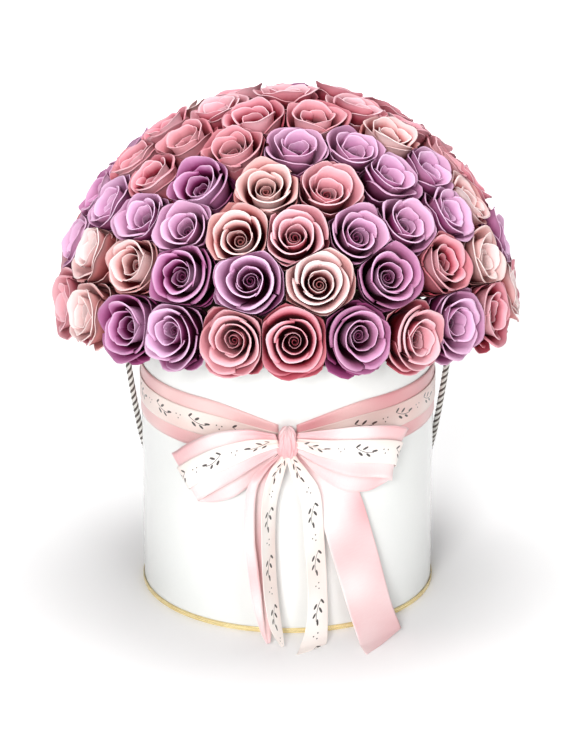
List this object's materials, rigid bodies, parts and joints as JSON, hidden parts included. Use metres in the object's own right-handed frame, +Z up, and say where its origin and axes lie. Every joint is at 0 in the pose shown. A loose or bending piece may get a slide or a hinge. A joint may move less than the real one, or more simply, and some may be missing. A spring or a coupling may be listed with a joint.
{
  "type": "flower hat box",
  "caption": "Round hat box filled with a dome of preserved roses, with a ribbon bow and a twisted carrying cord.",
  "frame": {"origin": "centre of the box's underside, on the surface that it stands on", "axes": "+Z up through the dome of roses, -Y towards the bow at the front, +X to the right seen from the bow"},
  "size_m": [0.3451, 0.344, 0.3836],
  "materials": {
    "white_board": "white laminated paper over greyboard, glossy",
    "gold_foil": "gold metallic foil edge, satin gloss",
    "brass_eyelet": "pressed brass eyelet, polished",
    "clear_film": "thin milky plastic liner",
    "florist_foam": "dark brown dry floral foam",
    "pink_satin": "pale pink double-faced satin ribbon",
    "cream_satin": "cream satin ribbon with a small printed sprig",
    "twisted_cord": "white and taupe twisted cord",
    "pink_petals": "preserved rose petals, dusty pink, velvety",
    "mauve_petals": "preserved rose petals, mauve, velvety",
    "cream_petals": "preserved rose petals, pale peach, velvety"
  },
  "bodies": {
    "root": {"base_board": "white_board", "bow_knot": "pink_satin", "box_wall": "white_board", "cord_knot_left": "twisted_cord", "cord_knot_right": "twisted_cord", "eyelet_left": "brass_eyelet", "eyelet_right": "brass_eyelet", "foam_core": "florist_foam", "gold_edge": "gold_foil", "handle_cord": "twisted_cord", "liner": "clear_film", "printed_band": "cream_satin", "printed_loop_left": "cream_satin", "printed_loop_right": "cream_satin", "printed_tail_left": "cream_satin", "printed_tail_middle": "cream_satin", "roses_cream_01": "cream_petals", "roses_cream_02": "cream_petals", "roses_cream_03": "cream_petals", "roses_cream_04": "cream_petals", "roses_cream_05": "cream_petals", "roses_cream_06": "cream_petals", "roses_cream_07": "cream_petals", "roses_cream_08": "cream_petals", "roses_cream_09": "cream_petals", "roses_cream_10": "cream_petals", "roses_mauve_01": "mauve_petals", "roses_mauve_02": "mauve_petals", "roses_mauve_03": "mauve_petals", "roses_mauve_04": "mauve_petals", "roses_mauve_05": "mauve_petals", "roses_mauve_06": "mauve_petals", "roses_mauve_07": "mauve_petals", "roses_mauve_08": "mauve_petals", "roses_mauve_09": "mauve_petals", "roses_mauve_10": "mauve_petals", "roses_mauve_11": "mauve_petals", "roses_mauve_12": "mauve_petals", "roses_mauve_13": "mauve_petals", "roses_mauve_14": "mauve_petals", "roses_pink_01": "pink_petals", "roses_pink_02": "pink_petals", "roses_pink_03": "pink_petals", "roses_pink_04": "pink_petals", "roses_pink_05": "pink_petals", "roses_pink_06": "pink_petals", "roses_pink_07": "pink_petals", "roses_pink_08": "pink_petals", "roses_pink_09": "pink_petals", "roses_pink_10": "pink_petals", "roses_pink_11": "pink_petals", "roses_pink_12": "pink_petals", "roses_pink_13": "pink_petals", "roses_pink_14": "pink_petals", "roses_pink_15": "pink_petals", "satin_band": "pink_satin", "satin_loop_left": "pink_satin", "satin_loop_right": "pink_satin", "satin_tail_left": "pink_satin", "satin_tail_right": "pink_satin"}
  },
  "joints": []
}
